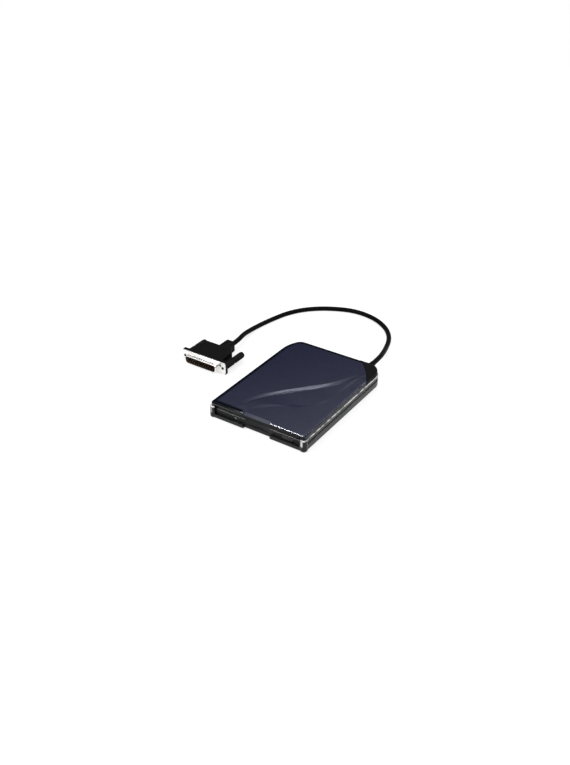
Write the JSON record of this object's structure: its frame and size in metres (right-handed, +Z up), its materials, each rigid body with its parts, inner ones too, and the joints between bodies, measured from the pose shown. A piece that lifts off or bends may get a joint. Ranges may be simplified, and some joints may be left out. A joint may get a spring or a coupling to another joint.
{
  "type": "external floppy disk drive",
  "caption": "Slim external drive for 3.5-inch floppy disks, with a creased cover, a slot with a sprung flap, an eject button and a captive cable with a 25-way plug.",
  "frame": {"origin": "on the table, under the middle of the housing", "axes": "+X to the right seen from the front, +Y from the disk slot to the back, +Z up"},
  "size_m": [0.1896, 0.2545, 0.0172],
  "materials": {
    "cover_plastic": "navy, satin",
    "base_plastic": "black, fine grain",
    "bezel_plastic": "black, fine grain",
    "lamp": "clear green, unlit",
    "rubber": "black, soft",
    "cable_jacket": "black, satin",
    "screw_steel": "blackened steel",
    "sheet_steel": "zinc plated sheet",
    "bright_steel": "ground",
    "spring_steel": "drawn wire",
    "lever_plastic": "black acetal",
    "carriage_plastic": "filled black plastic",
    "head_ceramic": "ground ceramic",
    "circuit_board": "green solder mask",
    "chip_plastic": "black epoxy",
    "core_steel": "stacked sheets",
    "magnet": "ferrite",
    "copper": "enamelled copper wire",
    "bronze": "sintered bronze",
    "ribbon": "amber film",
    "plug_plate": "bright tin plate",
    "plug_insulator": "black",
    "gold_pin": "gold plate",
    "hood_plastic": "black",
    "thumb_plastic": "black"
  },
  "bodies": {
    "housing": {"base_housing": "base_plastic", "top_cover": "cover_plastic", "cable_corner": "base_plastic", "rubber_feet": "rubber", "cover_screws": "screw_steel", "mechanism_screws": "screw_steel", "front_bezel": "bezel_plastic", "led_window": "lamp", "door_spring": "spring_steel", "chassis_tray": "sheet_steel", "shield_plate": "sheet_steel", "shield_screws": "screw_steel", "motor_board": "circuit_board", "stator_core": "core_steel", "stator_coils": "copper", "bearing_sleeve": "bronze", "screw_bracket": "sheet_steel", "stepper_motor": "bright_steel", "guide_rod": "bright_steel", "rod_clamps": "sheet_steel", "track_sensor": "lever_plastic", "main_board": "circuit_board", "board_chips": "chip_plastic", "switch_bodies": "lever_plastic", "interface_board": "circuit_board", "interface_chips": "chip_plastic", "signal_ribbon": "ribbon", "head_flex": "ribbon", "lever_spring": "spring_steel", "strain_relief": "rubber", "cable_tail": "cable_jacket", "interface_cable": "cable_jacket", "connector_shell": "plug_plate", "connector_insulator": "plug_insulator", "connector_pins": "gold_pin", "connector_hood": "hood_plastic"},
    "door": {"slot_door": "bezel_plastic"},
    "eject": {"eject_button": "bezel_plastic", "eject_slider": "sheet_steel", "eject_springs": "spring_steel"},
    "cradle": {"disk_holder": "sheet_steel"},
    "lever": {"shutter_lever": "lever_plastic"},
    "spindle": {"spindle_rotor": "sheet_steel", "rotor_magnet": "magnet", "hub_table": "bright_steel"},
    "drive_pin_body": {"drive_pin": "bright_steel"},
    "screw": {"lead_screw": "bright_steel"},
    "carriage": {"head_carriage": "carriage_plastic", "lower_head": "head_ceramic", "arm_pin": "bright_steel", "arm_spring": "spring_steel"},
    "head_arm": {"upper_arm": "sheet_steel", "upper_head": "head_ceramic"},
    "write_sense": {"write_plunger": "lever_plastic"},
    "disk_sense": {"disk_plunger": "lever_plastic"},
    "density_sense": {"density_plunger": "lever_plastic"},
    "left_thumb": {"thumbscrew_left": "thumb_plastic"},
    "right_thumb": {"thumbscrew_right": "thumb_plastic"}
  },
  "joints": [
    {"name": "slot_door_swing", "type": "hinge", "parent": "housing", "child": "door", "pos_m": [0, -0.06686, 0.01375], "axis": [1, 0, 0], "range_deg": [0, 85], "stiffness_Nm_per_rad": 0.0002, "springref_deg": -17.19},
    {"name": "eject_slide", "type": "slide", "parent": "housing", "child": "eject", "axis": [0, -1, 0], "range_m": [0, 0.0045]},
    {"name": "cradle_lift", "type": "slide", "parent": "housing", "child": "cradle", "axis": [0, 0, 1], "range_m": [-0.0022, 0]},
    {"name": "shutter_lever_swing", "type": "hinge", "parent": "housing", "child": "lever", "pos_m": [-0.038, 0.03619, 0.0106], "axis": [0, 0, 1], "range_deg": [0, 62], "stiffness_Nm_per_rad": 0.0005, "springref_deg": -17.19},
    {"name": "spindle_spin", "type": "hinge", "parent": "housing", "child": "spindle", "pos_m": [0, -0.01681, 0.008], "axis": [0, 0, 1], "continuous": true},
    {"name": "drive_pin_press", "type": "slide", "parent": "spindle", "child": "drive_pin_body", "axis": [0, 0, -1], "range_m": [0, 0.0008], "stiffness_N_per_m": 40, "springref_m": -0.0005},
    {"name": "lead_screw_turn", "type": "hinge", "parent": "housing", "child": "screw", "pos_m": [0.016, 0.02959, 0.0086], "axis": [0, 1, 0], "range_deg": [0, 1422.01]},
    {"name": "head_travel", "type": "slide", "parent": "housing", "child": "carriage", "axis": [0, -1, 0], "range_m": [0, 0.01481]},
    {"name": "head_arm_drop", "type": "hinge", "parent": "carriage", "child": "head_arm", "pos_m": [0, 0.04511, 0.0142], "axis": [1, 0, 0], "range_deg": [0, 8.81]},
    {"name": "write_plunger_press", "type": "slide", "parent": "housing", "child": "write_sense", "axis": [0, 0, -1], "range_m": [0, 0.001], "stiffness_N_per_m": 30, "springref_m": -0.0005},
    {"name": "disk_plunger_press", "type": "slide", "parent": "housing", "child": "disk_sense", "axis": [0, 0, -1], "range_m": [0, 0.001], "stiffness_N_per_m": 30, "springref_m": -0.0005},
    {"name": "density_plunger_press", "type": "slide", "parent": "housing", "child": "density_sense", "axis": [0, 0, -1], "range_m": [0, 0.001], "stiffness_N_per_m": 30, "springref_m": -0.0005},
    {"name": "left_thumbscrew_turn", "type": "hinge", "parent": "housing", "child": "left_thumb", "pos_m": [-0.13382, -0.005, 0.007], "axis": [0, 1, 0], "continuous": true},
    {"name": "right_thumbscrew_turn", "type": "hinge", "parent": "housing", "child": "right_thumb", "pos_m": [-0.08678, -0.005, 0.007], "axis": [0, 1, 0], "continuous": true}
  ],
  "couplings": [
    {"joint": "cradle_lift", "follows": "eject_slide", "ratio": -0.48889},
    {"joint": "head_arm_drop", "follows": "eject_slide", "rad_per_m": 34.131},
    {"joint": "lead_screw_turn", "follows": "head_travel", "rad_per_m": 1675.5}
  ]
}
